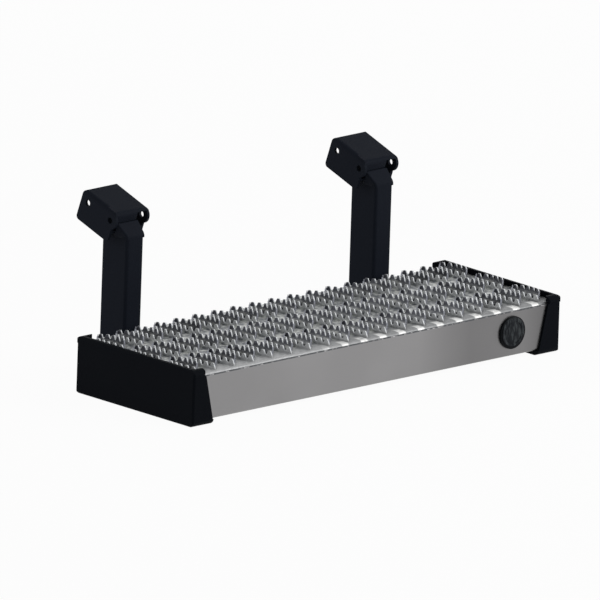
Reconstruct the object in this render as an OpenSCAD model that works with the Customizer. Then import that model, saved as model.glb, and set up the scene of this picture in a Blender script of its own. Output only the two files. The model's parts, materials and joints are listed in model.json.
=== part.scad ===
// Side step for a work truck: a short plank of raised diamond grating with a bright face plate
// and moulded end caps, carried on two welded tube brackets that end in bolt-on saddles.
// X runs along the step, Y from its front edge to the vehicle, Z up from the foot of the caps.

/* [Step box] */
// Length over both end caps
step_l = 508; // [400:1:900]
// Depth over the end caps, front to back
step_d = 177; // [132:0.5:242]
// Height over the end caps
step_h = 60; // [57:0.5:80]
// Smallest gap between pieces that slide into each other
fit_gap = 0.3; // [0.1:0.05:0.6]

/* [End caps] */
// Thickness of the end wall
cap_end = 3; // [2:0.1:5]
// Thickness of the wraps at the front and back
cap_skin = 2.4; // [1.6:0.1:4]
// Height that the caps stand above the tread's sheet
cap_top = 5.9; // [4:0.1:6.5]
// Thickness of the floor under the plank
cap_floor = 5.3; // [3.6:0.1:6]
// Reach of the end wall's top edge over the tread
cap_lip = 5; // [4:0.5:12]
// Length of the rolls along the top of the wraps
cap_roll_l = 16; // [10:0.5:24]
// Width of the rolls
cap_roll_w = 8; // [6:0.5:9]
// Height of the rolls
cap_roll_h = 7.5; // [7:0.1:10]
// Distance that the rolls stand out from the wraps
cap_roll_out = 1; // [0.2:0.1:2]
// Radius of the rolls' lower edges
cap_roll_r = 3; // [1:0.1:3.4]
// Radius of the upper corners at the front and back
cap_corner_r = 6.5; // [2:0.5:7]
// Reach of the wraps below the rolls
cap_wrap_top = 17; // [8:0.5:24]
// Reach of the wraps at the floor
cap_wrap_foot = 28; // [20:0.5:34]
// Reach of the floor beyond the wraps
cap_tongue = 1; // [1:0.5:26]
// Radius of the long outer edges
cap_edge_r = 6.5; // [2:0.5:8]
// Radius where the end wall turns into the wraps
cap_end_r = 2.6; // [1:0.1:6]
// Radius in the corners of the hollow
cap_hollow_r = 1.5; // [0.5:0.1:1.6]
// Number of stiffening ribs inside the end wall
cap_ribs = 3; // [1:1:6]
// Thickness of a stiffening rib
rib_t = 2.4; // [1.5:0.1:4]
// Height of a stiffening rib above the floor
rib_h = 34; // [10:1:40]

/* [Tread plank] */
// Thickness of the plank's sheet
plank_t = 2.5; // [2:0.1:4]
// Outside radius of the plank's folds
plank_r = 4; // [3:0.5:6]
// Width of the returns beyond the line of bolts
return_edge = 14; // [10:0.5:18]

/* [Diamond grating] */
// Pitch of the openings along the step
open_pitch = 26.35; // [22:0.05:40]
// Pitch of the rows across the step
row_pitch = 54; // [48:0.5:70]
// Width of an opening along the step
open_w = 18.5; // [8:0.5:19]
// Length of an opening across the step
open_l = 46; // [30:0.5:47]
// Width left at the tip of an opening
open_tip_w = 8; // [2:0.5:10]
// Straight part at the waist of an opening
open_waist_l = 19; // [2:0.5:24]
// Thickness of the raised lip round an opening
lip_t = 1.6; // [1.2:0.1:3]
// Height of the lip at the tips of an opening
lip_tip_h = 6; // [4.8:0.1:8]
// Height of the lip at the waist of an opening
lip_waist_h = 7.5; // [6:0.1:10]
// Number of teeth along a lip
teeth_n = 7; // [4:1:9]
// Width of a tooth at its top
tooth_w = 2.2; // [0.6:0.1:3]
// Depth of the notches between the teeth
notch_h = 4.3; // [0.6:0.1:4.6]
// Width of a notch at its foot
notch_w = 1.8; // [0.6:0.1:2.2]
// Plain sheet left between the pattern and the caps' lips
end_margin = 0.5; // [0.3:0.1:20]
// Plain sheet left between the openings and the folds
side_margin = 3; // [1:0.5:10]

/* [Face plate] */
// Thickness of the face plate
face_t = 2; // [1.2:0.1:3]
// Distance from the tread down to the face plate's top edge
face_drop = 1.6; // [1.5:0.1:12]
// Width of its folded lip beyond the line of bolts
face_edge = 8; // [7:0.5:12]
// Outside radius of the fold at the foot
face_r = 3; // [2.4:0.1:5]
// Number of rivets in the lip
rivet_n = 5; // [2:1:9]

/* [Badge] */
// Diameter of the plain badge
badge_d = 34; // [24:0.5:40]
// Thickness of the badge at its rim
badge_t = 2.2; // [1.5:0.1:4]
// Distance from the centre of the badge to the right-hand end
badge_x = 65; // [62:0.5:110]
// Height of the badge's centre above the middle of the face plate
badge_rise = 1.6; // [-3:0.1:3]
// Distance between the badge's two pins
badge_pins = 18; // [12:0.5:22]
// Diameter of a badge pin
badge_pin_d = 3; // [2:0.1:4]
// Thickness of the push nuts on the pins
push_nut_t = 0.8; // [0.5:0.1:1.2]

/* [Bracket tube] */
// Distance between the middles of the two brackets
bracket_gap = 345; // [240:1:360]
// Width of the tube
tube_w = 23.5; // [18:0.5:30]
// Wall of the tube
tube_t = 2.5; // [2:0.1:4]
// Outside corner radius of the tube
tube_r = 3.5; // [3:0.1:4.5]
// Gap between the back of the step and the upright
leg_gap = 3; // [2:0.5:20]
// Gap between the plank's front flange and the arm's open end
arm_gap = 2.5; // [2:0.5:10]
// Distance from the arm's open end to the front bolt
arm_end_l = 9; // [8:0.5:16]
// Length of each rubber pad between arm and tread
pad_l = 26; // [10:0.5:40]
// Width of each rubber pad
pad_w = 20; // [10:0.5:22]
// Thickness of each rubber pad
pad_h = 3.8; // [2:0.1:8]
// Distance between the middles of an arm's two pads
pad_gap = 54; // [42:1:80]

/* [Saddle] */
// Height of the front edge of the saddle's top
saddle_z = 175.5; // [120:0.5:260]
// Distance that the saddle's front edge stands behind the upright's front
saddle_setback = 5; // [2:0.5:10]
// Tilt of the saddle
saddle_tilt = 18.5; // [5:0.5:25]
// Length of the saddle
saddle_l = 52; // [50:0.5:80]
// Width over the saddle's flanks
saddle_w = 46.5; // [36:0.5:70]
// Depth of the saddle's flanks
saddle_h = 34; // [30:0.5:50]
// Depth of the saddle's folded front edge
saddle_lip = 11; // [9:0.5:14]
// Gap beside the folded front edge, which lets a bolt in
saddle_notch = 13; // [4:0.5:20]
// Thickness of the saddle's plate
saddle_t = 3; // [2:0.1:5]
// Outside radius of the saddle's folds
saddle_r = 5; // [4:0.5:8]
// Radius of the saddle's corners
saddle_corner_r = 4; // [1:0.5:6]
// Distance from the saddle's top to its floor plate
seat_depth = 21.4; // [18:0.1:26]
// Diameter of the bolt holes through the flanks
hole_d = 6.5; // [5:0.1:10]
// Depth of the bolt holes below the saddle's top
hole_depth = 10.8; // [9:0.1:14]
// Distance from the saddle's front edge to the front holes
hole_front = 6.5; // [5:0.1:10]
// Distance between the front and the back holes
hole_pitch = 35.3; // [25:0.1:38]
// Radius of the rounded ear round the front holes
ear_r = 9.3; // [7:0.1:9.5]
// Distance that the flanks stand back below the ears
ear_step = 2; // [1:0.5:6]

/* [Fasteners] */
// Diameter of the bolts that hold the arms
bolt_d = 6; // [5:0.5:8]
// Length of the bolts below their heads
bolt_l = 20; // [14:1:26]
// Diameter of the bolts' round heads
bolt_head_d = 10.5; // [9:0.5:14]
// Height of the bolts' round heads
bolt_head_h = 3.3; // [2:0.1:3.5]
// Width across the flats of the bolts' sockets
socket_w = 4; // [3:0.5:5]
// Outside diameter of the threaded inserts
insert_d = 9; // [8:0.5:12]
// Diameter of the cap screws
screw_d = 4; // [3:0.5:5]
// Length of the cap screws
screw_l = 13; // [10:0.5:20]
// Diameter of the cap screws' flat heads
screw_head_d = 8; // [6:0.5:9]
// Distance from the cap screws to the inner edge of the cap's floor
screw_edge = 6.5; // [6:0.5:8]
// Diameter of the rivets
rivet_d = 3.2; // [2.4:0.1:4.8]

/* [Hidden] */
$fn = 48;

black_steel = [0.10, 0.12, 0.14];
black_plastic = [0.06, 0.06, 0.07];
bare_metal = [0.74, 0.75, 0.76];
zinc = [0.60, 0.61, 0.63];
rubber = [0.13, 0.13, 0.13];

// The plank between the caps and behind the face plate
plank_l = step_l - 2 * (cap_end + fit_gap);
face_front = cap_roll_out + cap_skin;
cap_foot = cap_wrap_foot + cap_tongue;
plank_front = face_front + face_t;
plank_back = step_d - face_front;
plank_foot = cap_floor + face_t;
plank_top = step_h - cap_top;
plank_d = plank_back - plank_front;
plank_h = plank_top - plank_foot;

// Rows and columns of openings that fit on the tread
ring_w = open_w + 2 * lip_t;
cols = floor((step_l - 2 * (cap_lip + end_margin) - ring_w) / open_pitch) + 1;
rows = floor((plank_d - 2 * side_margin) / row_pitch);
row_mid = (plank_front + plank_back) / 2;
ring_half = open_l / 2 + lip_t;
tooth_pitch = 2 * ring_half / teeth_n;
roll_foot = step_h - cap_roll_h;

// The arms lie on the plank's returns, and their tube fills the height up to the pads
arm_foot = plank_foot + plank_t;
arm_top = plank_top - plank_t - pad_h;
tube_d = arm_top - arm_foot;
arm_front = plank_front + plank_t + arm_gap;
leg_front = step_d + leg_gap;
leg_back = leg_front + tube_d;

// Saddle frame: its front top edge, and the whole depth and the middle of the part
saddle_y = leg_front + saddle_setback;
total_d = saddle_y + (saddle_l - saddle_corner_r) * cos(saddle_tilt)
    + (saddle_h - saddle_corner_r) * sin(saddle_tilt) + saddle_corner_r;
seat_foot = seat_depth + saddle_t;
seat_front = -(saddle_setback + seat_depth * sin(saddle_tilt)) / cos(saddle_tilt);

// Lines of bolts, screws and rivets in the returns, and the plates that hold them
bolt_inset = plank_t + arm_gap + arm_end_l;
front_line = plank_front + bolt_inset;
back_line = plank_back - bolt_inset;
return_w = bolt_inset + return_edge;
face_lip = face_t + bolt_inset + face_edge;
face_h = plank_top - face_drop - cap_floor;
badge_z = cap_floor + face_h / 2 + badge_rise;
screw_x = step_l / 2 - (cap_foot - screw_edge);
washer_t = face_t;
head_foot = cap_floor - bolt_head_h;
head_sink = 0.2;
insert_l = 14;
insert_bulge = 2.2;
drill_gap = 0.2;
thread_gap = 0.05;
far = 500;

// Sets the part's origin under the middle of its whole outline
module in_frame() {
    translate([0, -total_d / 2, 0]) children();
}

module along_x(l) {
    rotate([90, 0, 90]) linear_extrude(l, center = true) children();
}

module along_y(l) {
    translate([0, l, 0]) rotate([90, 0, 0]) linear_extrude(l) children();
}

// Rectangle with round corners, from the origin
module round_rect(w, h, r) {
    translate([r, 0]) square([w - 2 * r, h]);
    translate([0, r]) square([w, h - 2 * r]);
    for (x = [r, w - r], y = [r, h - r])
        translate([x, y]) circle(r);
}

// Upright hole or pin through one of the fastener lines
module upright_rod(x, y, d, low, high) {
    translate([x, y, low]) cylinder(d = d, h = high - low);
}

// Eight-sided outline of an opening, or of the lip round it
module diamond(w, l, tip, waist) {
    half = [[w / 2, -waist / 2], [w / 2, waist / 2], [tip / 2, l / 2]];
    polygon(concat(half, [for (p = half) -p]));
}

module at_openings() {
    for (c = [0 : cols - 1], r = [0 : rows - 1])
        translate([
            (c - (cols - 1) / 2) * open_pitch,
            row_mid + (r - (rows - 1) / 2) * row_pitch,
            0,
        ]) children();
}

// Height of the lip above the sheet, before its teeth are cut
function lip_h(y) = lip_tip_h + (lip_waist_h - lip_tip_h) * cos(90 * y / ring_half);

// Saw-toothed side view of the lips in one row
module lip_profile() {
    foot = tooth_pitch / 2 - notch_w / 2;
    teeth = [
        for (i = [0 : teeth_n - 1])
        let (y = (i + 0.5) * tooth_pitch - ring_half, top = lip_h(y))
        each [[y - foot, top - notch_h], [y - tooth_w / 2, top], [y + tooth_w / 2, top], [y + foot, top - notch_h]]
    ];
    polygon(concat([[ring_half, -plank_t / 2], [-ring_half, -plank_t / 2]], teeth));
}

module serrated_lips() {
    intersection() {
        translate([0, 0, plank_top - plank_t / 2])
            linear_extrude(plank_t / 2 + lip_waist_h)
                difference() {
                    at_openings()
                        diamond(ring_w, 2 * ring_half,
                            open_tip_w + lip_t, open_waist_l + lip_t);
                    at_openings() diamond(open_w, open_l, open_tip_w, open_waist_l);
                }
        for (r = [0 : rows - 1])
            translate([0, row_mid + (r - (rows - 1) / 2) * row_pitch, plank_top])
                along_x(cols * open_pitch) lip_profile();
    }
}

// Channel section of the plank, with a return along each foot
module plank_section() {
    difference() {
        round_rect(plank_d, plank_h, plank_r);
        translate([plank_t, plank_t])
            round_rect(plank_d - 2 * plank_t, plank_h - 2 * plank_t, plank_r - plank_t);
        translate([return_w, -1]) square([plank_d - 2 * return_w, plank_t + 2]);
    }
}

module tread_plank() color(bare_metal) in_frame() {
    difference() {
        translate([0, plank_front, plank_foot]) along_x(plank_l) plank_section();
        translate([0, 0, plank_top - plank_r]) linear_extrude(plank_r + 1)
            at_openings() diamond(open_w, open_l, open_tip_w, open_waist_l);
        for (x = [-1, 1] * bracket_gap / 2)
            translate([x - tube_w / 2 - fit_gap, plank_back - plank_r, arm_foot])
                cube([tube_w + 2 * fit_gap, plank_r + 1, tube_d + fit_gap]);
        return_holes(plank_foot, arm_foot);
        badge_holes();
    }
    serrated_lips();
}

// Holes for the bolts, screws and rivets through whatever lies between two heights
module return_holes(low, high) {
    for (x = [-1, 1] * bracket_gap / 2, y = [front_line, back_line])
        upright_rod(x, y, bolt_d + 2 * drill_gap, low - 1, high + 1);
    for (x = [-1, 1] * screw_x, y = [front_line, back_line])
        upright_rod(x, y, screw_d, low - 1, high + 1);
    at_rivets() upright_rod(0, front_line, rivet_d, low - 1, high + 1);
}

module at_rivets() {
    for (i = [1 : rivet_n])
        translate([bracket_gap * (i / (rivet_n + 1) - 0.5), 0, 0]) children();
}

module badge_holes() {
    at_badge_pins() rotate([90, 0, 0])
        cylinder(d = badge_pin_d + drill_gap, h = far, center = true);
}

module at_badge_pins() {
    for (z = [-1, 1] * badge_pins / 2)
        translate([step_l / 2 - badge_x, face_front, badge_z + z]) children();
}

module front_face_plate() color(bare_metal) in_frame() {
    difference() {
        translate([0, face_front, cap_floor]) along_x(plank_l) face_section();
        return_holes(cap_floor, plank_foot);
        badge_holes();
    }
}

// Plate with a round top edge and a lip folded under the plank
module face_section() {
    translate([0, face_r]) square([face_t, face_h - face_r - face_t / 2]);
    translate([face_t / 2, face_h - face_t / 2]) circle(d = face_t);
    translate([face_r, 0]) square([face_lip - face_r, face_t]);
    difference() {
        translate([face_r, face_r]) circle(face_r);
        translate([face_r, face_r]) circle(face_r - face_t);
        translate([face_r, -1]) square([2 * face_r, 3 * face_r]);
        translate([-1, face_r]) square([3 * face_r, 2 * face_r]);
    }
}

// Left cap in its own frame: X inward from the end wall's outer face
module cap_block() {
    intersection() {
        union() {
            cap_bar(cap_roll_out, 0, cap_edge_r);
            cap_bar(0, roll_foot, cap_roll_r);
        }
        along_y(step_d) round_rect(2 * cap_foot, step_h, cap_end_r);
        translate([cap_foot / 2, 0, 0]) along_x(cap_foot) round_rect(step_d, step_h, cap_corner_r);
        cap_reach();
    }
}

// Bar with rounded long edges, set in from the front and back, from a height up to the top
module cap_bar(inset, foot, r) {
    translate([0, inset, foot]) intersection() {
        translate([cap_foot / 2, 0, 0]) along_x(cap_foot)
            round_rect(step_d - 2 * inset, step_h - foot, r);
        linear_extrude(step_h) round_rect(2 * cap_foot, step_d - 2 * inset, cap_end_r);
    }
}

module cap_hollow() {
    translate([cap_end + far / 2, face_front, cap_floor]) along_x(far)
        round_rect(step_d - 2 * face_front, step_h - cap_floor - cap_top, cap_hollow_r);
}

// Floor and slanted wraps from the side, and above them the end wall's top and the rolls
module cap_reach() {
    along_y(step_d) polygon([
        [0, 0],
        [cap_foot, 0],
        [cap_foot, cap_floor],
        [cap_wrap_foot, cap_floor],
        [cap_wrap_top, roll_foot],
        [0, roll_foot],
    ]);
    translate([0, 0, roll_foot]) linear_extrude(cap_roll_h) {
        square([cap_lip, step_d]);
        for (y = [0, step_d - cap_roll_w])
            translate([-cap_roll_l, y]) round_rect(2 * cap_roll_l, cap_roll_w, cap_roll_w / 3);
    }
}

// Corners cut off the floor where it reaches furthest inboard
module cap_floor_corners() {
    cut = cap_tongue;
    for (y = [0, step_d])
        translate([cap_foot, y, -1]) linear_extrude(cap_floor + 2)
            polygon([[1, -cut], [1, cut], [0, cut * 0.8], [-cut, 0], [0, -cut * 0.8]]);
}

// Ribs between the plank's returns, from the end wall down to the floor
module cap_ribs() {
    reach = cap_wrap_foot - cap_end;
    between = plank_d - 2 * return_w;
    for (i = [1 : cap_ribs])
        translate([0, row_mid + between * (i / (cap_ribs + 1) - 0.5) - rib_t / 2, 0]) along_y(rib_t)
            polygon([
                [cap_end / 2, cap_floor / 2],
                [cap_end + reach, cap_floor / 2],
                [cap_end + reach, cap_floor],
                [cap_end, cap_floor + rib_h],
                [cap_end / 2, cap_floor + rib_h],
            ]);
}

module end_cap() {
    x = step_l / 2 - screw_x;
    difference() {
        union() {
            difference() {
                cap_block();
                cap_hollow();
                cap_floor_corners();
            }
            cap_ribs();
            upright_rod(x, back_line, screw_head_d + 3, cap_floor / 2, plank_foot);
        }
        for (y = [front_line, back_line]) {
            upright_rod(x, y, screw_d + drill_gap, -1, plank_foot + 1);
            upright_rod(x, y, screw_head_d, -1, head_sink);
            translate([x, y, head_sink]) screw_head();
        }
    }
}

module end_cap_left() color(black_plastic) in_frame()
    translate([-step_l / 2, 0, 0]) end_cap();

module end_cap_right() color(black_plastic) in_frame()
    mirror([1, 0, 0]) translate([-step_l / 2, 0, 0]) end_cap();

// Flat head that tapers at 45 degrees into the screw
module screw_head() {
    cylinder(d1 = screw_head_d, d2 = screw_d, h = (screw_head_d - screw_d) / 2);
}

module end_cap_screws() color(zinc) in_frame()
    for (x = [-1, 1] * screw_x, y = [front_line, back_line])
        translate([x, y, head_sink]) {
            screw_head();
            cylinder(d = screw_d, h = screw_l);
        }

module face_plate_rivets() color(zinc) in_frame()
    at_rivets() {
        upright_rod(0, front_line, 2 * rivet_d, cap_floor - rivet_d * 0.4, cap_floor);
        upright_rod(0, front_line, rivet_d, cap_floor - rivet_d * 0.2, arm_foot + rivet_d * 0.2);
        upright_rod(0, front_line, 1.6 * rivet_d, arm_foot, arm_foot + rivet_d * 0.9);
    }

// Round plate with a raised rim and two pins that pass through the face plate and the flange
module badge() color(black_plastic) in_frame() {
    rim = badge_t * 0.8;
    translate([step_l / 2 - badge_x, face_front, badge_z]) rotate([90, 0, 0])
        difference() {
            cylinder(d = badge_d, h = badge_t);
            translate([0, 0, badge_t * 0.6]) cylinder(d = badge_d - 2 * rim, h = badge_t);
        }
    at_badge_pins() rotate([-90, 0, 0])
        translate([0, 0, -badge_t / 2])
            cylinder(d = badge_pin_d, h = badge_t / 2 + face_t + plank_t + 1.6 * push_nut_t);
}

module badge_push_nuts() color(zinc) in_frame()
    at_badge_pins() rotate([-90, 0, 0])
        translate([0, 0, face_t + plank_t]) difference() {
            cylinder(d = badge_pin_d * 3, h = push_nut_t);
            translate([0, 0, -1]) cylinder(d = badge_pin_d + 2 * thread_gap, h = push_nut_t + 2);
        }

// Hollow section of the bracket tube, middle of its width on the origin
module tube_section() {
    translate([-tube_w / 2, 0]) difference() {
        round_rect(tube_w, tube_d, tube_r);
        translate([tube_t, tube_t])
            round_rect(tube_w - 2 * tube_t, tube_d - 2 * tube_t, tube_r - tube_t);
    }
}

// Arm from inside the plank back to the mitre under the upright
module support_arm() {
    difference() {
        translate([0, arm_front, arm_foot])
            along_y(leg_back - arm_front) tube_section();
        along_x(2 * tube_w) mitre_side(leg_front, arm_top, 1);
        for (y = [front_line, back_line])
            upright_rod(0, y, insert_d, arm_foot - 1, arm_foot + tube_t + 1);
    }
}

// Half plane on one side of the mitre between arm and upright
module mitre_side(y, z, side) {
    slope = [tube_d, -tube_d];
    across = side * [tube_d, tube_d];
    polygon([
        [y, z] - slope,
        [y, z] + 2 * slope,
        [y, z] + 2 * slope + 3 * across,
        [y, z] - slope + 3 * across,
    ]);
}

// Upright from the mitre to the underside of the saddle's floor plate
module upright() {
    difference() {
        translate([0, leg_front, arm_foot]) linear_extrude(saddle_z - arm_foot)
            tube_section();
        along_x(2 * tube_w) mitre_side(leg_front, arm_top, -1);
        in_saddle() translate([-far / 2, -far / 2, -seat_foot]) cube(far);
    }
}

// Frame of the saddle: Y back along its top, Z square to it
module in_saddle() {
    translate([0, saddle_y, saddle_z]) rotate([saddle_tilt, 0, 0]) children();
}

// Floor plate between the flanks, with an end that covers the upright's top
module seat_plate() {
    in_saddle() translate([0, 0, -seat_foot]) linear_extrude(saddle_t) {
        inner = saddle_w - 2 * saddle_t;
        translate([-inner / 2, ear_step]) square([inner, saddle_l - 2 * ear_step]);
        translate([-tube_w / 2, seat_front]) round_rect(tube_w, saddle_l / 2 - seat_front, tube_r);
    }
}

// Side view of a flank, with the ear round the front hole
module flank_outline() {
    rotate([0, 180, 0]) mirror([1, 0, 0]) translate([0, -saddle_h]) {
        translate([ear_step, 0]) round_rect(saddle_l - ear_step, saddle_h, saddle_corner_r);
        translate([0, saddle_h - 2.2 * saddle_r]) round_rect(saddle_l, 2.2 * saddle_r, saddle_r);
        translate([hole_front, saddle_h - hole_depth]) circle(ear_r);
    }
}

module saddle() {
    in_saddle() difference() {
        union() {
            intersection() {
                translate([0, -ear_r, 0]) along_y(saddle_l + 2 * ear_r) saddle_section();
                along_x(2 * saddle_w) flank_outline();
            }
            translate([-saddle_notch / 2 - saddle_t / 4, 0, 0])
                along_x(saddle_w - saddle_notch - 1.5 * saddle_t) front_fold();
        }
        for (y = [hole_front, hole_front + hole_pitch])
            translate([0, y, -hole_depth]) rotate([0, 90, 0])
                cylinder(d = hole_d, h = far, center = true);
    }
}

// Folded top and two flanks
module saddle_section() {
    inner = saddle_w - 2 * saddle_t;
    difference() {
        translate([-saddle_w / 2, -saddle_h - saddle_r])
            round_rect(saddle_w, saddle_h + saddle_r, saddle_r);
        translate([-inner / 2, -saddle_h - 2 * saddle_r])
            round_rect(inner, saddle_h + 2 * saddle_r - saddle_t, saddle_r - saddle_t);
        translate([-saddle_w, -saddle_h - 2 * saddle_r])
            square([2 * saddle_w, 2 * saddle_r]);
    }
}

// Side view of the front edge, folded down from the top between the flanks
module front_fold() {
    l = 3 * saddle_r;
    intersection() {
        translate([0, -saddle_lip]) square([l, saddle_lip]);
        difference() {
            translate([0, -2 * l]) round_rect(2 * l, 2 * l, saddle_r);
            translate([saddle_t, -2 * l]) round_rect(2 * l, 2 * l - saddle_t, saddle_r - saddle_t);
        }
    }
}

module at_bracket(side) {
    in_frame() translate([side * bracket_gap / 2, 0, 0]) children();
}

module support_arm_left() color(black_steel) at_bracket(-1) support_arm();
module support_arm_right() color(black_steel) at_bracket(1) support_arm();
module upright_left() color(black_steel) at_bracket(-1) upright();
module upright_right() color(black_steel) at_bracket(1) upright();
module seat_plate_left() color(black_steel) at_bracket(-1) seat_plate();
module seat_plate_right() color(black_steel) at_bracket(1) seat_plate();
module saddle_left() color(black_steel) at_bracket(-1) saddle();
module saddle_right() color(black_steel) at_bracket(1) saddle();

// Rubber pad on the arm, under the strip of sheet between two rows
module pad(y) {
    translate([-pad_w / 2, y - pad_l / 2, arm_top]) cube([pad_w, pad_l, pad_h]);
}

module front_pad_left() color(rubber) at_bracket(-1) pad(row_mid - pad_gap / 2);
module front_pad_right() color(rubber) at_bracket(1) pad(row_mid - pad_gap / 2);
module back_pad_left() color(rubber) at_bracket(-1) pad(row_mid + pad_gap / 2);
module back_pad_right() color(rubber) at_bracket(1) pad(row_mid + pad_gap / 2);

module arm_bolt() {
    difference() {
        union() {
            translate([0, 0, head_foot]) cylinder(d = bolt_head_d, h = bolt_head_h);
            translate([0, 0, head_foot + bolt_head_h / 2])
                cylinder(d = bolt_d, h = bolt_head_h / 2 + bolt_l);
        }
        translate([0, 0, head_foot - 1])
            cylinder(d = socket_w / cos(30), h = 1 + bolt_head_h * 0.6, $fn = 6);
    }
}

module at_arm_bolts(y) {
    for (x = [-1, 1] * bracket_gap / 2)
        translate([x, y, 0]) children();
}

module front_arm_bolts() color(zinc) in_frame() at_arm_bolts(front_line) arm_bolt();
module back_arm_bolts() color(zinc) in_frame() at_arm_bolts(back_line) arm_bolt();

module back_bolt_washers() color(zinc) in_frame()
    at_arm_bolts(back_line) difference() {
        upright_rod(0, 0, bolt_d * 2, plank_foot - washer_t, plank_foot);
        upright_rod(0, 0, bolt_d + 2 * drill_gap, 0, plank_foot + 1);
    }

module threaded_inserts() color(zinc) in_frame()
    for (y = [front_line, back_line])
        at_arm_bolts(y) difference() {
            union() {
                upright_rod(0, 0, insert_d, arm_foot, arm_foot + insert_l);
                upright_rod(0, 0, insert_d * 1.3, arm_foot + tube_t, arm_foot + tube_t + insert_bulge);
            }
            upright_rod(0, 0, bolt_d + 2 * thread_gap, 0, arm_foot + insert_l + 1);
        }

tread_plank();
front_face_plate();
end_cap_left();
end_cap_right();
end_cap_screws();
face_plate_rivets();
badge();
badge_push_nuts();
support_arm_left();
support_arm_right();
upright_left();
upright_right();
seat_plate_left();
seat_plate_right();
saddle_left();
saddle_right();
front_pad_left();
front_pad_right();
back_pad_left();
back_pad_right();
front_arm_bolts();
back_arm_bolts();
back_bolt_washers();
threaded_inserts();
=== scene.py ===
import json
import math

import bpy
from mathutils import Euler, Matrix, Vector


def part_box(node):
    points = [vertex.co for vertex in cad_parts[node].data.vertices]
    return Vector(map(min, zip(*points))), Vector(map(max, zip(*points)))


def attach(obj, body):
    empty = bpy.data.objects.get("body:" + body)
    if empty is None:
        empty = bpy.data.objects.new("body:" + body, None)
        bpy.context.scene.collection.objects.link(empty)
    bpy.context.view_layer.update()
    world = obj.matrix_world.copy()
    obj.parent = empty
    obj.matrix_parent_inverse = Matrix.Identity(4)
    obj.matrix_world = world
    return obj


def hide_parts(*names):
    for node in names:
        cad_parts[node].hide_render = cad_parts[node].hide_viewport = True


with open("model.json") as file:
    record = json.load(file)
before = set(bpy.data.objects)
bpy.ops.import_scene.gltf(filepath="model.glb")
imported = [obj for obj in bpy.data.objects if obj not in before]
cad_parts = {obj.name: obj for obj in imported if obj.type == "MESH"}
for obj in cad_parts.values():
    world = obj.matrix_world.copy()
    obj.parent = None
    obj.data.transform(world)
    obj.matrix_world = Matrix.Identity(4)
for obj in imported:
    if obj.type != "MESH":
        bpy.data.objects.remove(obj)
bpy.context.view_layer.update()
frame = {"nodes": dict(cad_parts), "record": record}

bracketMiddle = 0.1725  # distance of each bracket from the middle of the step
sides = {"left": -1, "right": 1}  # which way each side lies along X


class Wire:  # one output socket, so that shader maths reads as plain sums
    def __init__(self, paint, socket):
        self.paint = paint
        self.socket = socket

    def maths(self, operation, *values):
        slots = dict(enumerate(values))
        return self.paint.node("ShaderNodeMath", {"operation": operation}, slots)

    def __add__(self, other):
        return self.maths("ADD", self, other)

    def __radd__(self, other):
        return self.maths("ADD", other, self)

    def __sub__(self, other):
        return self.maths("SUBTRACT", self, other)

    def __rsub__(self, other):
        return self.maths("SUBTRACT", other, self)

    def __mul__(self, other):
        return self.maths("MULTIPLY", self, other)

    def __rmul__(self, other):
        return self.maths("MULTIPLY", other, self)

    def __truediv__(self, other):
        return self.maths("DIVIDE", self, other)

    def above(self, low, high):  # 0 at low, 1 at high, smooth between them
        settings = {"interpolation_type": "SMOOTHSTEP"}
        slots = {"Value": self, "From Min": low, "From Max": high}
        return self.paint.node("ShaderNodeMapRange", settings, slots)

    def past(self, start, fade):  # the same, with both levels counted from a start
        return self.above(start + fade[0], start + fade[1])


class Paint:  # one material and the nodes in it
    def __init__(self, name):
        self.material = bpy.data.materials.new(name)
        self.material.use_nodes = True
        self.tree = self.material.node_tree
        self.tree.nodes.clear()
        self.place = self.node("ShaderNodeTexCoord", output="Object")

    def node(self, kind, settings=None, slots=None, output=0):
        made = self.tree.nodes.new(kind)
        for name, value in (settings or {}).items():
            if name == "stops":
                self.setStops(made.color_ramp, value)
            else:
                setattr(made, name, value)
        for name, value in (slots or {}).items():
            if isinstance(value, Wire):
                self.tree.links.new(value.socket, made.inputs[name])
            else:
                made.inputs[name].default_value = value
        return Wire(self, made.outputs[output])

    def setStops(self, ramp, stops):
        while len(ramp.elements) < len(stops):
            ramp.elements.new(0.5)
        for element, (position, colour) in zip(ramp.elements, stops):
            element.position = position
            element.color = (*colour, 1)

    def axis(self, letter):
        return self.node("ShaderNodeSeparateXYZ", None, {0: self.place}, output=letter)

    def stretched(self, scale):  # the place, with each axis scaled on its own
        return self.node("ShaderNodeMapping", None, {"Vector": self.place, "Scale": scale})

    def noise(self, scale, detail, place=None):
        slots = {"Vector": place or self.place, "Scale": scale, "Detail": detail}
        return self.node("ShaderNodeTexNoise", None, slots)

    def patches(self, scale, detail, low, high, place=None):  # 1 where the noise is above high
        return self.noise(scale, detail, place).above(low, high)

    def blend(self, factor, first, second):  # a colour between two colours
        slots = {0: factor, 6: self.colour(first), 7: self.colour(second)}
        return self.node("ShaderNodeMix", {"data_type": "RGBA"}, slots, output=2)

    def tinted(self, colour, level):  # a colour made lighter or darker by a number
        grey = self.node("ShaderNodeCombineXYZ", None, {0: level, 1: level, 2: level})
        settings = {"data_type": "RGBA", "blend_type": "MULTIPLY"}
        return self.node("ShaderNodeMix", settings, {0: 1.0, 6: colour, 7: grey}, output=2)

    def colour(self, value):
        return value if isinstance(value, Wire) else (*value, 1)

    def bump(self, height, depth, under=None):  # depth in metres
        slots = {"Height": height, "Strength": 1.0, "Distance": depth}
        if under:
            slots["Normal"] = under
        return self.node("ShaderNodeBump", None, slots)

    def finish(self, slots):
        self.output(self.node("ShaderNodeBsdfPrincipled", None, slots))
        return self.material

    def output(self, shader):
        made = self.tree.nodes.new("ShaderNodeOutputMaterial")
        self.tree.links.new(shader.socket, made.inputs["Surface"])


bpy.context.scene.view_settings.view_transform = "Standard"


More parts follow.
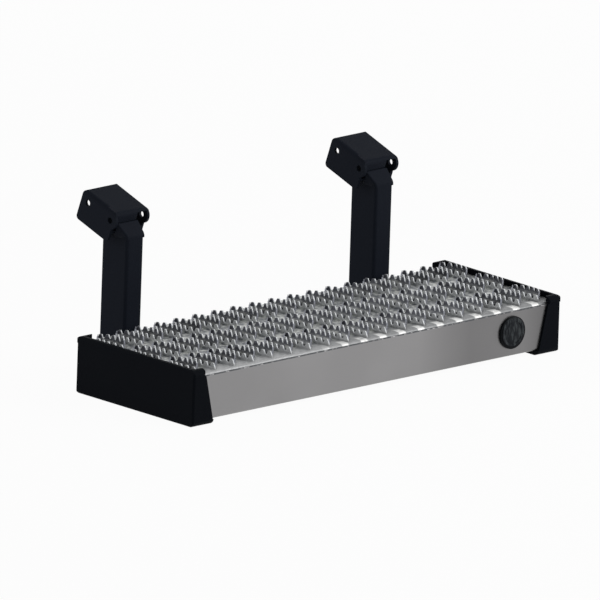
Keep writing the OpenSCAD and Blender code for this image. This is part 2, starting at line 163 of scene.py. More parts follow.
def addCamera():
    view = {
        "azimuth": -43.44,  # degrees, 0 looks along +Y
        "elevation": 14.95,
        "roll": 1.89,
        "width": 0.6085,  # metres across the picture
        "aim": Vector((-0.0022, -0.0071, 0.0705)),
        "distance": 2.0,
    }
    tip, azimuth, roll = (
        math.radians(angle) for angle in (90 - view["elevation"], view["azimuth"], view["roll"])
    )
    turn = Euler((tip, 0, azimuth)).to_matrix() @ Matrix.Rotation(roll, 3, "Z")
    place = view["aim"] + turn @ Vector((0, 0, view["distance"]))
    bpy.ops.object.camera_add()
    camera = bpy.context.object
    camera.data.type = "ORTHO"
    camera.data.ortho_scale = view["width"]
    camera.matrix_world = Matrix.Translation(place) @ turn.to_4x4()
    bpy.context.scene.camera = camera
    print("camera placed")


def addLamp(name, spot, aim, size, power):
    bpy.ops.object.light_add(type="AREA", location=spot)
    lamp = bpy.context.object
    lamp.name = name
    lamp.data.shape = "RECTANGLE"
    lamp.data.size, lamp.data.size_y = size
    lamp.data.energy = power
    lamp.rotation_euler = (Vector(aim) - Vector(spot)).to_track_quat("-Z", "Y").to_euler()


def addLight():
    look = {
        "aim": (0, 0, 0.05),
        "lamps": {  # place, size across and up, and watts
            "keyLamp": ((1.5, -1.9, 1.2), (2.2, 1.6), 33),
            "sideLamp": ((-1.5, 1.7, 0.9), (1.6, 1.2), 8),
            "backLamp": ((1.5, 1.5, 0.6), (1.4, 0.8), 4),
        },
        "fill": 0.42,  # strength of the white room on matt faces
        "white": 1.0,  # its strength behind the part and in reflections
    }
    for name, (spot, size, power) in look["lamps"].items():
        addLamp(name, spot, look["aim"], size, power)
    world = bpy.data.worlds.new("studio")
    world.use_nodes = True
    bpy.context.scene.world = world
    nodes = world.node_tree.nodes
    links = world.node_tree.links
    nodes.clear()
    path = nodes.new("ShaderNodeLightPath")
    seen = nodes.new("ShaderNodeMath")
    seen.operation = "MAXIMUM"
    links.new(path.outputs["Is Camera Ray"], seen.inputs[0])
    links.new(path.outputs["Is Glossy Ray"], seen.inputs[1])
    level = nodes.new("ShaderNodeMapRange")
    level.inputs["To Min"].default_value = look["fill"]
    level.inputs["To Max"].default_value = look["white"]
    links.new(seen.outputs[0], level.inputs["Value"])
    sky = nodes.new("ShaderNodeBackground")
    links.new(level.outputs[0], sky.inputs["Strength"])
    out = nodes.new("ShaderNodeOutputWorld")
    links.new(sky.outputs[0], out.inputs["Surface"])
    print("lights placed")


def addFloor():
    look = {
        "size": 12.0,
        "matt": (0.86, 0.86, 0.86, 1),
        "white": (1, 1, 1, 1),
        "share": 0.955,  # of plain white in what the camera and reflections see
    }
    paint = Paint("floor")
    camera = paint.node("ShaderNodeLightPath", output="Is Camera Ray")
    glossy = paint.node("ShaderNodeLightPath", output="Is Glossy Ray")
    share = camera.maths("MAXIMUM", camera, glossy) * look["share"]
    matt = paint.node("ShaderNodeBsdfDiffuse", None, {"Color": look["matt"]})
    white = paint.node("ShaderNodeEmission", None, {"Color": look["white"], "Strength": 1.0})
    paint.output(paint.node("ShaderNodeMixShader", None, {0: share, 1: matt, 2: white}))
    bpy.ops.mesh.primitive_plane_add(size=look["size"])
    floor = bpy.context.object
    floor.name = "floor"
    floor.data.materials.append(paint.material)
    print("floor laid")


def treadMetal():
    look = {  # patches: scale and detail of the noise, and the levels between which they begin
        "sheetTop": 0.0541,  # height of the sheet's upper face
        "frontEdge": -0.1166,  # the front flange's outer face
        "middle": -0.0325,  # of the plank's depth
        "halfDepth": 0.0841,
        "pitch": 0.02635,  # of the columns, one of which is at the middle
        "rowPitch": 0.054,
        "waist": 0.0095,  # half the straight part of an opening
        "slope": 0.389,  # of its slanted sides
        "wall": 0.0095,  # distance from the middle to the lip's inner face
        "wallFade": (0, 0.0006),  # out from there
        "sheet": (0.63, 0.64, 0.62),
        "dull": (0.22, 0.23, 0.25),
        "sheetPatches": (190, 4, 0.34, 0.66),
        "sheetFade": (-0.0035, -0.0010),  # up to the sheet's top, from the flanges' tone
        "flange": (0.36, 0.365, 0.375),
        "flangeDull": (0.29, 0.295, 0.305),
        "flangePatches": (40, 4, 0.3, 0.7),
        # painted reflection: plain tones of the front margin, lighter to the left
        "marginReflection": (0.44, 0.445, 0.45),
        "marginReflectionRight": (0.305, 0.31, 0.315),
        "marginTurn": (-0.15, 0.10),  # in X, between those two painted reflection tones
        "marginFade": (0.013, 0.023),  # back from the front edge
        # painted highlight: pale glints along the front edge, between the openings, towards the
        # right
        "paintedGlint": (0.90, 0.90, 0.89),
        "paintedGlintFade": (0.007, 0.015),
        "paintedGlintGap": (-0.75, -0.2),  # of a cosine that is -1 halfway between two openings
        "paintedGlintFrom": (-0.09, -0.03),  # in X
        "paintedGlintPatches": (70, 2, 0.2, 0.45),
        # painted highlight: the raised lips' own tone
        "lip": (0.49, 0.50, 0.505),
        "lipFade": (0, 0.0035),  # up from the sheet's top
        # painted shade on the lips' inner faces
        "lipInside": (0.155, 0.16, 0.18),
        # painted shade inside the plank and in the crevice at the front
        "paintedShade": (0.02, 0.021, 0.024),
        "underFade": (-0.0032, -0.0006),  # up to the sheet's top
        "innerFade": (-0.0019, -0.0008),  # out to the flanges' outer faces
        "paintedShadeHeight": (0.012, 0.034),
        "creviceFade": (0.0004, 0.0012),  # back from the front edge
        "roughness": 0.46,
        "grainRoughness": 0.16,
        "insideRoughness": 0.3,
        "grain": (220, 2),
        "dents": (90, 3),
        "dentDepth": 0.0010,
        "pits": (320, 2),
        "pitDepth": 0.0004,
    }
    paint = Paint("treadMetal")
    high = paint.axis("Z")
    deep = paint.axis("Y")
    along = paint.axis("X")
    sheet = paint.blend(paint.patches(*look["sheetPatches"]), look["dull"], look["sheet"])
    flange = paint.blend(paint.patches(*look["flangePatches"]), look["flangeDull"], look["flange"])
    sheet = paint.blend(high.past(look["sheetTop"], look["sheetFade"]), flange, sheet)
    # painted reflection: a plain tone along the front margin, lighter to the left than to the right
    marginReflection = 1 - deep.past(look["frontEdge"], look["marginFade"])
    # painted highlight: pale glints in patches along the front edge, between the openings and
    # towards the right
    wave = along.maths("COSINE", along * (2 * math.pi / look["pitch"]))
    paintedGlint = 1 - deep.past(look["frontEdge"], look["paintedGlintFade"])
    paintedGlint = paintedGlint * (1 - wave.above(*look["paintedGlintGap"])) * along.above(*look["paintedGlintFrom"])
    paintedGlint = paintedGlint * paint.patches(*look["paintedGlintPatches"])
    plain = paint.blend(along.above(*look["marginTurn"]), look["marginReflection"], look["marginReflectionRight"])
    sheet = paint.blend(marginReflection, sheet, plain)
    sheet = paint.blend(paintedGlint, sheet, look["paintedGlint"])
    # painted highlight: the raised lips get a plain tone of their own
    raised = high.past(look["sheetTop"], look["lipFade"])
    tone = paint.blend(raised, sheet, look["lip"])
    beside = along.maths("PINGPONG", along, look["pitch"] / 2)  # from the nearest opening's middle
    ahead = deep.maths("PINGPONG", deep - look["middle"], look["rowPitch"] / 2) - look["waist"]
    reach = beside + look["slope"] * ahead.maths("MAXIMUM", ahead, 0)
    # painted shade on the inner faces of the lips
    lipInside = raised * (1 - reach.past(look["wall"], look["wallFade"]))
    tone = paint.blend(lipInside, tone, look["lipInside"])
    # painted shade: near black below the sheet's top, inside the plank's flanges
    below = 1 - high.past(look["sheetTop"], look["underFade"])
    fromMiddle = deep.maths("ABSOLUTE", deep - look["middle"])
    inside = below * high.above(*look["paintedShadeHeight"])
    inside = inside * (1 - fromMiddle.past(look["halfDepth"], look["innerFade"]))
    tone = paint.blend(inside, tone, look["paintedShade"])
    # painted shade on the front flange's face, below the sheet's top
    crevice = below * (1 - deep.past(look["frontEdge"], look["creviceFade"]))
    tone = paint.blend(crevice, tone, look["paintedShade"])
    rough = look["roughness"] + look["grainRoughness"] * paint.noise(*look["grain"])
    rough = rough + look["insideRoughness"] * inside
    dents = paint.bump(paint.noise(*look["dents"]), look["dentDepth"])
    dents = paint.bump(paint.noise(*look["pits"]), look["pitDepth"], under=dents)
    return paint.finish({"Base Color": tone, "Metallic": 1.0, "Roughness": rough, "Normal": dents})


def faceMetal():
    look = {
        "top": 0.0525,  # height of the plate's upper edge
        "reach": (-0.26, 0.26),  # ends of the painted reflection ramp along the plate
        # painted reflection: tones along the plate, lighter to the left
        "reflectionTones": ((0.060, 0.276), (0.096, 0.222), (0.132, 0.186), (0.205, 0.201), (0.230, 0.165)),
        "tint": (1.005, 0.99, 1.0),
        "haze": (14, 2, 0.3, 0.75),
        "level": 0.965,
        "hazeLevel": 0.06,
        # painted shade along the plate's upper edge
        "paintedShade": (0.05, 0.052, 0.056),
        "seamFade": (-0.0014, -0.0006),  # up to the upper edge
        "seamPatches": (260, 3, 0.3, 0.5),
        "roughness": 0.3,
        "grainRoughness": 0.1,
        "grain": (60, 3),
        "grainStretch": (2, 30, 30),
        "brushed": (1400, 1),
        "brushedStretch": (0.02, 1, 1),
        "brushedDepth": 0.00002,
    }
    paint = Paint("faceMetal")
    low, high = look["reach"]
    place = (paint.axis("X") - low) / (high - low)
    stops = [
        ((x - low) / (high - low), [tone * tint for tint in look["tint"]])
        for x, tone in look["reflectionTones"]
    ]
    # painted reflection: a ramp of tones along the plate, lighter to the left, darker to the right
    paintedReflection = paint.node("ShaderNodeValToRGB", {"stops": stops}, {0: place})
    # painted shade along the plate's upper edge under the tread, broken into patches
    seam = paint.axis("Z").past(look["top"], look["seamFade"])
    seam = seam * paint.patches(*look["seamPatches"])
    haze = look["level"] + look["hazeLevel"] * paint.patches(*look["haze"])
    tone = paint.blend(seam, paint.tinted(paintedReflection, haze), look["paintedShade"])
    grain = paint.noise(*look["grain"], paint.stretched(look["grainStretch"]))
    rough = look["roughness"] + look["grainRoughness"] * grain
    brushed = paint.noise(*look["brushed"], paint.stretched(look["brushedStretch"]))
    return paint.finish({
        "Base Color": tone,
        "Metallic": 1.0,
        "Roughness": rough,
        "Normal": paint.bump(brushed, look["brushedDepth"]),
    })


def darkCoat(name, look):
    paint = Paint(name)
    return paint.finish({
        "Base Color": (*look["colour"], 1),
        "Roughness": look["roughness"] + look["uneven"] * paint.noise(*look["patches"]),
        "Specular IOR Level": look["gloss"],
        "Normal": paint.bump(paint.noise(*look["grain"]), look["grainDepth"]),
    })


def mouldedPlastic():
    look = {
        "colour": (0.0050, 0.0060, 0.0084),
        "roughness": 0.5,
        "uneven": 0.12,
        "patches": (25, 3),
        "gloss": 0.02,
        "grain": (2600, 2),
        "grainDepth": 0.00006,
    }
    return darkCoat("mouldedPlastic", look)


def powderCoat():
    look = {
        "colour": (0.0116, 0.0142, 0.0212),
        "roughness": 0.5,
        "uneven": 0.1,
        "patches": (30, 3),
        "gloss": 0.03,
        "grain": (700, 2),
        "grainDepth": 0.00008,
    }
    return darkCoat("powderCoat", look)


def zincPlate():
    look = {
        "cool": (0.52, 0.54, 0.57),
        "warm": (0.58, 0.55, 0.47),
        "patches": (140, 3, 0.4, 0.65),
        "roughness": 0.32,
    }
    paint = Paint("zincPlate")
    tone = paint.blend(paint.patches(*look["patches"]), look["cool"], look["warm"])
    return paint.finish({"Base Color": tone, "Metallic": 1.0, "Roughness": look["roughness"]})


def softRubber():
    look = {
        "colour": (0.02, 0.02, 0.02, 1),
        "roughness": 0.8,
        "gloss": 0.3,
        "grain": (1500, 2),
        "grainDepth": 0.00008,
    }
    paint = Paint("softRubber")
    return paint.finish({
        "Base Color": look["colour"],
        "Roughness": look["roughness"],
        "Specular IOR Level": look["gloss"],
        "Normal": paint.bump(paint.noise(*look["grain"]), look["grainDepth"]),
    })


def badgeFace():
    look = {
        "middle": (0.189, 0.0317),  # in X and Z
        "dishRadius": 0.0148,
        "rimFade": (0, 0.0003),
        "rim": (0.0045, 0.0055, 0.007),
        "dark": (0.012, 0.014, 0.017),
        "pale": (0.055, 0.062, 0.066),
        "streaks": (150, 3, 0.42, 0.66),
        "stretch": (3, 1, 0.8),
        "roughness": 0.4,
        "streakRoughness": 0.15,
        "gloss": 0.06,
    }
    paint = Paint("badgeFace")
    across = paint.axis("X") - look["middle"][0]
    up = paint.axis("Z") - look["middle"][1]
    radius = across.maths("SQRT", across * across + up * up)
    streaks = paint.patches(*look["streaks"], paint.stretched(look["stretch"]))
    tone = paint.blend(streaks, look["dark"], look["pale"])
    tone = paint.blend(radius.past(look["dishRadius"], look["rimFade"]), tone, look["rim"])
    return paint.finish({
        "Base Color": tone,
        "Roughness": look["roughness"] + look["streakRoughness"] * streaks,
        "Specular IOR Level": look["gloss"],
    })


def openMode(mode):
    bpy.ops.object.mode_set(mode=mode)


def pickOnly(piece):
    bpy.ops.object.select_all(action="DESELECT")
    piece.select_set(True)
    bpy.context.view_layer.objects.active = piece


def wear(piece, finish):
    piece.data.materials.clear()
    piece.data.materials.append(finish)


def settle(piece, finish):  # rides on the frame, and wears one finish
    wear(piece, finish)
    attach(piece, "root")


def addModifier(piece, kind, settings):
    modifier = piece.modifiers.new(kind.lower(), kind)
    for name, value in settings.items():
        setattr(modifier, name, value)
    pickOnly(piece)
    bpy.ops.object.modifier_apply(modifier=modifier.name)


def softenEdges(piece, radius, segments=2):
    sharper, smooth = math.radians(30), math.radians(38)  # edges to bevel, faces to shade as one
    addModifier(piece, "BEVEL", {
        "width": radius,
        "segments": segments,
        "limit_method": "ANGLE",
        "angle_limit": sharper,
        "use_clamp_overlap": True,
        "miter_outer": "MITER_ARC" if segments > 1 else "MITER_SHARP",
    })
    pickOnly(piece)
    bpy.ops.object.shade_smooth_by_angle(angle=smooth)
    addModifier(piece, "WEIGHTED_NORMAL", {"keep_sharp": True, "weight": 80})


def applyPlace(piece):
    pickOnly(piece)
    bpy.ops.object.transform_apply(location=True, rotation=True, scale=True)


def pickFaces(piece, test):  # leaves edit mode open, with the faces that pass the test picked
    pickOnly(piece)
    openMode("EDIT")
    bpy.ops.mesh.select_mode(type="FACE")
    bpy.ops.mesh.select_all(action="DESELECT")
    openMode("OBJECT")
    for face in piece.data.polygons:
        face.select = test(face)
    openMode("EDIT")


def pushOut(amount):  # extrudes the picked faces along their normal
    bpy.ops.mesh.extrude_region_shrink_fatten(TRANSFORM_OT_shrink_fatten={"value": -amount})


def roundBar(vertices, radius, low, high):  # round the Z axis, from one height to another
    bpy.ops.mesh.primitive_cylinder_add(
        vertices=vertices, radius=radius, depth=high - low, location=(0, 0, (low + high) / 2)
    )
    bar = bpy.context.object
    applyPlace(bar)
    return bar


def bevelEnd(piece, side, offset, segments):  # side is -1 for the lower end, 1 for the upper
    pickFaces(piece, lambda face: side * face.normal.z > 0.9)
    bpy.ops.mesh.bevel(offset=offset, segments=segments, affect="EDGES")
    openMode("OBJECT")


def copyOf(piece, matrix):
    copy = piece.copy()
    copy.data = piece.data.copy()
    copy.data.transform(matrix)
    bpy.context.collection.objects.link(copy)
    return copy


def joined(pieces, name):
    bpy.ops.object.select_all(action="DESELECT")
    for piece in pieces:
        piece.select_set(True)
    bpy.context.view_layer.objects.active = pieces[0]
    bpy.ops.object.join()
    whole = bpy.context.object
    whole.name = name
    applyPlace(whole)
    return whole


def cutAway(piece, cutter):
    settings = {"object": cutter, "operation": "DIFFERENCE", "solver": "EXACT"}
    addModifier(piece, "BOOLEAN", settings)
    bpy.data.objects.remove(cutter, do_unlink=True)


def copiesAt(master, spots, name):  # one piece from copies of a master, which goes away
    pieces = [copyOf(master, Matrix.Translation(spot)) for spot in spots]
    bpy.data.objects.remove(master, do_unlink=True)
    return joined(pieces, name)


def finishPiece(piece, finish, nodeName):
    pickOnly(piece)
    bpy.ops.object.shade_smooth_by_angle(angle=math.radians(35))
    settle(piece, finish)
    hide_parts(nodeName)
    print("made", piece.name, len(piece.data.polygons))


def mergedCopy(nodeName):  # a node's shape with its triangles joined into whole faces
    look = {"weld": 0.000002, "flat": 0.4}  # metres and degrees
    pickOnly(frame["nodes"][nodeName])
    bpy.ops.object.duplicate()
    piece = bpy.context.object
    piece.name = nodeName + ".finished"
    openMode("EDIT")
    bpy.ops.mesh.select_all(action="SELECT")
    bpy.ops.mesh.remove_doubles(threshold=look["weld"])
    bpy.ops.mesh.dissolve_limited(angle_limit=math.radians(look["flat"]))
    openMode("OBJECT")
    return piece


def thread(radius, pitch, low, high, core):  # a helical ridge round the Z axis
    root = core * 0.96  # its foot lies inside the core
    bpy.ops.mesh.primitive_circle_add(vertices=3, radius=pitch / 2, location=(0, 0, 0))
    piece = bpy.context.object
    corners = [(root, 0, low), (radius, 0, low + pitch * 0.5), (root, 0, low + pitch)]
    for vertex, corner in zip(piece.data.vertices, corners):
        vertex.co = corner
    addModifier(piece, "SCREW", {
        "axis": "Z",
        "screw_offset": pitch,
        "iterations": int((high - low) / pitch),
        "steps": 20,
        "render_steps": 20,
        "use_merge_vertices": True,
        "merge_threshold": 0.00001,
    })
    pickOnly(piece)
    openMode("EDIT")
    bpy.ops.mesh.select_all(action="SELECT")
    bpy.ops.mesh.fill_holes(sides=4)
    bpy.ops.mesh.normals_make_consistent(inside=False)
    openMode("OBJECT")
    return piece


def armBolts(nodeName, finish):
    look = {
        "headRadius": 0.00525,
        "headHeight": 0.0033,
        "crown": 0.0021,
        "collar": 0.0003,  # softness of the head's upper rim
        "socket": 0.004,  # across its flats
        "socketDepth": 0.002,
        "shank": 0.0026,
        "plain": 0.001,  # unthreaded run under the head
        "crest": 0.00298,
        "pitch": 0.001,
        "length": 0.020,
        "point": 0.0008,
    }
    low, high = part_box(nodeName)
    head = roundBar(40, look["headRadius"], 0, look["headHeight"])
    bevelEnd(head, -1, look["crown"], 6)
    bevelEnd(head, 1, look["collar"], 2)
    corner = look["socket"] / 2 / math.cos(math.pi / 6)
    cutAway(head, roundBar(6, corner, -look["socketDepth"], look["socketDepth"]))
    reach = look["headHeight"] + look["length"]
    shank = roundBar(32, look["shank"], look["headHeight"], reach)
    bevelEnd(shank, 1, look["point"], 1)
    start, end = look["headHeight"] + look["plain"], reach - look["point"]
    ridge = thread(look["crest"], look["pitch"], start, end, look["shank"])
    bolt = joined([head, shank, ridge], "bolt")
    spots = [(side * bracketMiddle, (low[1] + high[1]) / 2, low[2]) for side in sides.values()]
    finishPiece(copiesAt(bolt, spots, nodeName + ".detailed"), finish, nodeName)


def capScrews(finish):
    look = {
        "headRadius": 0.004,
        "headDepth": 0.002,
        "rim": 0.0003,
        "slotLength": 0.0048,  # of each slot of the cross
        "slotWidth": 0.0011,
        "slotDepth": 0.0022,
        "slotFoot": 0.45,  # how much narrower a slot gets
        "core": 0.0015,
        "crest": 0.002,
        "pitch": 0.0014,
        "start": 0.0022,  # where the thread begins
        "length": 0.013,
        "point": 0.003,
    }
    low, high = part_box("end_cap_screws")
    bpy.ops.mesh.primitive_cone_add(
        vertices=36,
        radius1=look["headRadius"],
        radius2=look["crest"],
        depth=look["headDepth"],
        location=(0, 0, look["headDepth"] / 2),
    )
    head = bpy.context.object
    applyPlace(head)
    bevelEnd(head, -1, look["rim"], 2)
    for turn in (0, math.pi / 2):
        bpy.ops.mesh.primitive_cube_add(size=1, rotation=(0, 0, turn))
        slot = bpy.context.object
        slot.scale = (look["slotLength"], look["slotWidth"], 2 * look["slotDepth"])
        applyPlace(slot)
        pickFaces(slot, lambda face: face.normal.z > 0.9)
        bpy.ops.transform.resize(value=(look["slotFoot"], look["slotFoot"], 1))
        openMode("OBJECT")
        cutAway(head, slot)
    bpy.ops.mesh.primitive_cone_add(
        vertices=24,
        radius1=look["core"],
        radius2=look["core"] * 0.3,
        depth=look["point"],
        location=(0, 0, look["length"] - look["point"] / 2),
    )
    point = bpy.context.object
    applyPlace(point)
    end = look["length"] - look["point"]
    core = roundBar(24, look["core"], look["point"] / 2, end)
    ridge = thread(look["crest"], look["pitch"], look["start"], end, look["core"])
    screw = joined([head, point, core, ridge], "screw")
    across = high[0] - look["headRadius"]
    along = (low[1] + look["headRadius"], high[1] - look["headRadius"])
    spots = [(side * across, y, low[2]) for side in sides.values() for y in along]
    screws = copiesAt(screw, spots, "end_cap_screws.detailed")
    finishPiece(screws, finish, "end_cap_screws")


def faceRivets(finish):
    look = {
        "headRadius": 0.0032,
        "dome": 0.00115,
        "headDepth": 0.00128,
        "pin": 0.0009,  # radius of the broken pin in the head's middle
        "pinReach": (0.0002, 0.0012),
        "hole": 1.25,  # the pin's hole is so much wider
        "holeDepth": 0.0005,
        "shank": 0.0016,
        "tail": 0.00256,
        "reach": 0.0085,  # from the head's face to the tail's end
        "tailDepth": 0.0029,
        "spacing": 0.0575,
        "count": 5,
    }
    low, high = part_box("face_plate_rivets")
    head = roundBar(32, look["headRadius"], 0, look["headDepth"])
    bevelEnd(head, -1, look["dome"], 6)
    cutAway(head, roundBar(24, look["pin"] * look["hole"], -look["holeDepth"], look["holeDepth"]))
    pin = roundBar(20, look["pin"], *look["pinReach"])
    shank = roundBar(24, look["shank"], look["headDepth"], look["reach"])
    tailMiddle = high[2] - low[2] - look["tailDepth"] / 2
    bpy.ops.mesh.primitive_uv_sphere_add(
        segments=24, ring_count=12, radius=1, location=(0, 0, tailMiddle)
    )
    tail = bpy.context.object
    tail.scale = (look["tail"], look["tail"], look["tailDepth"] / 2)
    applyPlace(tail)
    rivet = joined([head, pin, shank, tail], "rivet")
    middle = (low[1] + high[1]) / 2
    steps = [i - (look["count"] - 1) / 2 for i in range(look["count"])]
    spots = [(step * look["spacing"], middle, low[2]) for step in steps]
    rivets = copiesAt(rivet, spots, "face_plate_rivets.detailed")
    finishPiece(rivets, finish, "face_plate_rivets")


def roundBadge(finish):
    look = {
        "radius": 0.017,
        "thick": 0.0022,
        "rim": 0.0016,
        "dish": 0.0008,
        "ringGap": 0.0035,
        "ringRise": 0.6,  # of the dish's depth
        "ringWidth": 0.0012,
        "ringDrop": 0.45,
        "pinRadius": 0.0015,
        "pinGap": 0.018,
        "softness": 0.0003,
    }
    low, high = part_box("badge")
    across, up = (low[0] + high[0]) / 2, (low[2] + high[2]) / 2
    front, seat = low[1], low[1] + look["thick"] / 2
    bpy.ops.mesh.primitive_cylinder_add(
        vertices=64,
        radius=look["radius"],
        depth=look["thick"],
        location=(across, seat, up),
        rotation=(math.pi / 2, 0, 0),
    )
    plate = bpy.context.object
    applyPlace(plate)
    pickFaces(plate, lambda face: face.normal.y < -0.9)
    bpy.ops.mesh.inset(thickness=look["rim"])
    pushOut(-look["dish"])
    bpy.ops.mesh.inset(thickness=look["ringGap"])
    pushOut(look["dish"] * look["ringRise"])
    bpy.ops.mesh.inset(thickness=look["ringWidth"])
    pushOut(-look["dish"] * look["ringDrop"])
    openMode("OBJECT")
    addModifier(plate, "BEVEL", {
        "width": look["softness"],
        "segments": 3,
        "limit_method": "ANGLE",
        "angle_limit": math.radians(40),
    })
    parts = [plate]
    for side in (-1, 1):
        bpy.ops.mesh.primitive_cylinder_add(
            vertices=24, radius=look["pinRadius"], depth=1, rotation=(math.pi / 2, 0, 0)
        )
        pin = bpy.context.object
        pin.location = (across, (seat + high[1]) / 2, up + side * look["pinGap"] / 2)
        pin.scale = (1, 1, high[1] - front - look["thick"] / 2)
        applyPlace(pin)
        softenEdges(pin, look["softness"])
        parts.append(pin)
    finishPiece(joined(parts, "badge.detailed"), finish, "badge")


def tubeOutline(look):  # points round the tube's section at even steps, with outward normals
    width, depth, corner = (look[key] for key in ("tubeWidth", "tubeDepth", "tubeCorner"))
    points = []
    for quarter, (sideX, sideY) in enumerate(((1, 1), (-1, 1), (-1, -1), (1, -1))):
        for step in range(7):
            angle = math.radians(90 * quarter + 15 * step)
            normal = Vector((math.cos(angle), math.sin(angle)))
            middle = Vector((sideX * (width / 2 - corner), sideY * (depth / 2 - corner)))
            points.append((middle + normal * corner, normal))
    points.append(points[0])
    evenly, left = [], 0.0
    for (start, normal), (end, nextNormal) in zip(points, points[1:]):
        length = (end - start).length
        while left < length:
            part = left / length
            evenly.append((start.lerp(end, part), normal.lerp(nextNormal, part).normalized()))
            left += look["spacing"]
        left -= length
    return evenly


def weldSeams(look):  # the lines of beads on a bracket at the middle, and whether each is closed
    tilt = math.radians(look["tilt"])
    back = Vector((0, math.cos(tilt), math.sin(tilt)))
    up = Vector((0, -math.sin(tilt), math.cos(tilt)))
    saddle = Vector((0, *look["saddle"]))
    cornerY, cornerZ = look["corner"]
    mitre, seat = [], []
    for place, normal in tubeOutline(look):
        u = place.y + look["tubeDepth"] / 2
        out = Vector((normal.x, normal.y, -normal.y)).normalized()
        mitre.append((Vector((place.x, cornerY + u, cornerZ - u)), out))
        if normal.y > look["webNormal"]:
            run = (cornerY + u - saddle.y - look["seat"] * math.sin(tilt)) / math.cos(tilt)
            out = (Vector((normal.x, 0, 0)) + back * normal.y - up * look["seatLean"]).normalized()
            seat.append((saddle + back * run - up * look["seat"] + Vector((place.x, 0, 0)), out))
    seams = [(mitre, True), (seat, True)]
    first, last = look["seam"]
    for side in (-1, 1):
        line = []
        for i in range(int((last - first) / look["spacing"]) + 1):
            place = saddle + back * (first + i * look["spacing"]) - up * look["seat"]
            place += Vector((side * look["flank"], 0, 0))
            line.append((place, (Vector((-side, 0, 0)) - up).normalized()))
        seams.append((line, False))
    return seams


def weldBeads(finish):
    look = {
        "tubeWidth": 0.0235,
        "tubeDepth": 0.038,
        "tubeCorner": 0.0035,
        "spacing": 0.0013,
        "ripple": (0.0010, 0.0013, 0.0010),  # half sizes along, across and out of the seam
        "hollow": (0.75, 0.9, 0.9),  # size of a ripple's back half
        "lift": 0.0002,
        "corner": (0.058, 0.0478),  # where the tubes meet at the front of the mitre, in Y and Z
        "saddle": (0.063, 0.1755),  # the saddle's front edge, in Y and Z
        "tilt": 18.5,
        "seat": 0.0244,  # the seat plate's underside below the saddle's top
        "seatLean": 0.6,
        "webNormal": -0.3,  # further to the front, the web covers the seat's seam
        "flank": 0.02025,  # half the gap between the saddle's flanks
        "seam": (0.007, 0.045),  # the run of the seams along the flanks
        "voxel": 0.0004,
    }
    bpy.ops.mesh.primitive_uv_sphere_add(segments=12, ring_count=8, radius=1)
    ripple = bpy.context.object
    pickFaces(ripple, lambda face: face.center.x < -0.3)
    bpy.ops.transform.resize(value=look["hollow"])
    openMode("OBJECT")
    along, across, proud = look["ripple"]
    seams = weldSeams(look)
    for sideName, side in sides.items():
        copies = []
        for line, closed in seams:
            for i, (place, out) in enumerate(line):
                if closed or i + 1 < len(line):
                    ahead = line[(i + 1) % len(line)][0]
                else:
                    ahead = 2 * place - line[i - 1][0]
                tangent = (ahead - place).normalized()
                out = (out - tangent * out.dot(tangent)).normalized()
                axes = (tangent * along, out.cross(tangent) * across, out * proud)
                turn = Matrix(axes).transposed().to_4x4()
                spot = place + Vector((side * bracketMiddle, 0, 0)) + out * look["lift"]
                copies.append(copyOf(ripple, Matrix.Translation(spot) @ turn))
        bead = joined(copies, "weld_beads_" + sideName)
        addModifier(bead, "REMESH", {"mode": "VOXEL", "voxel_size": look["voxel"]})
        addModifier(bead, "SMOOTH", {"factor": 0.5, "iterations": 2})
        bpy.ops.object.shade_smooth()
        settle(bead, finish)
        print("welded", sideName, len(bead.data.polygons))
    bpy.data.objects.remove(ripple, do_unlink=True)


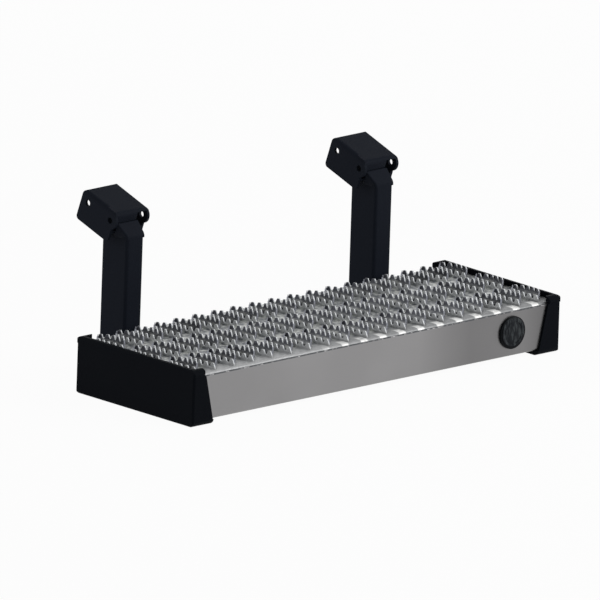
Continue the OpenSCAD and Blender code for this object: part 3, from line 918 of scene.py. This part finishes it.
def frontWebs(finish):  # closes the front of each saddle, from the upright to the folded edge
    look = {
        "front": 0.05788,
        "foot": (0.1476, 0.1512),  # heights of its straight part, on the upright's front
        "back": 0.00855,  # how far its upper edge lies back from there
        "top": 0.1656,
        "width": 0.0235,
        "upper": (-0.0200, 0.0088),  # ends of its upper edge
        "cheek": (-0.0206, 0.0750, 0.1462),  # closes the gap beside the left-hand flank
        "bend": 0.002,
        "bendAngle": 12,
        "thick": 0.0024,
        "softness": 0.0004,
    }
    low, high = look["foot"]
    left, right = look["upper"]
    for sideName, side in sides.items():
        middle = side * bracketMiddle
        bpy.ops.mesh.primitive_plane_add(
            size=1, location=(middle, look["front"], (low + high) / 2), rotation=(math.pi / 2, 0, 0)
        )
        web = bpy.context.object
        web.name = "front_web_" + sideName
        web.scale = (look["width"], high - low, 1)
        applyPlace(web)
        openMode("EDIT")
        bpy.ops.mesh.select_mode(type="VERT")
        bpy.ops.mesh.select_all(action="DESELECT")
        openMode("OBJECT")
        for vertex in web.data.vertices:
            vertex.select = vertex.co.z > (low + high) / 2
        openMode("EDIT")
        rise = (0, look["back"], look["top"] - high)
        bpy.ops.mesh.extrude_region_move(TRANSFORM_OT_translate={"value": rise})
        wider = ((right - left) / look["width"], 1, 1)
        bpy.ops.transform.resize(value=wider, center_override=(middle, 0, 0))
        bpy.ops.transform.translate(value=((left + right) / 2, 0, 0))
        openMode("OBJECT")
        for vertex in web.data.vertices:  # its left-hand side turns back to the flank's edge
            vertex.select = vertex.co.x < middle
        picked = [vertex.co.copy() for vertex in web.data.vertices if vertex.select]
        cheek = Vector((middle + look["cheek"][0], *look["cheek"][1:]))
        reach = cheek - sum(picked, Vector()) / len(picked)
        openMode("EDIT")
        bpy.ops.mesh.extrude_region_move(TRANSFORM_OT_translate={"value": reach})
        bpy.ops.mesh.merge(type="CENTER")
        bpy.ops.mesh.select_all(action="SELECT")
        bpy.ops.mesh.normals_make_consistent(inside=False)
        openMode("OBJECT")
        if sum(face.normal.y for face in web.data.polygons) > 0:
            web.data.flip_normals()
        addModifier(web, "BEVEL", {
            "width": look["bend"],
            "segments": 4,
            "limit_method": "ANGLE",
            "angle_limit": math.radians(look["bendAngle"]),
        })
        addModifier(web, "SOLIDIFY", {"thickness": look["thick"], "offset": -1})
        softenEdges(web, look["softness"])
        settle(web, finish)
        print("closed", sideName)


def finishNodes():
    finishes = {
        "tread": treadMetal(),
        "face_plate": faceMetal(),
        "cap": mouldedPlastic(),
        "badge": badgeFace(),
        "bracket": powderCoat(),
        "pad": softRubber(),
        "fastener": zincPlate(),
    }
    radii = {  # in metres, by slot
        "tread": 0.00022,
        "face_plate": 0.0003,
        "cap": 0.0006,
        "bracket": 0.0005,
        "pad": 0.0012,
        "fastener": 0.0003,
    }
    detailed = (  # these get pieces of their own below
        "front_arm_bolts", "back_arm_bolts", "end_cap_screws", "face_plate_rivets", "badge",
    )
    for subpart in frame["record"]["subparts"]:
        name, slot = subpart["node"], subpart["material_slot"]
        if name not in detailed:
            piece = mergedCopy(name)
            softenEdges(piece, radii[slot], segments=1 if slot == "tread" else 2)
            settle(piece, finishes[slot])
            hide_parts(name)
            print("finished", name, len(piece.data.polygons))
        wear(frame["nodes"][name], finishes[slot])
    return finishes


addCamera()
addLight()
addFloor()
finishes = finishNodes()
roundBadge(finishes["badge"])
for bolts in ("front_arm_bolts", "back_arm_bolts"):
    armBolts(bolts, finishes["fastener"])
capScrews(finishes["fastener"])
faceRivets(finishes["fastener"])
frontWebs(finishes["bracket"])
weldBeads(finishes["bracket"])
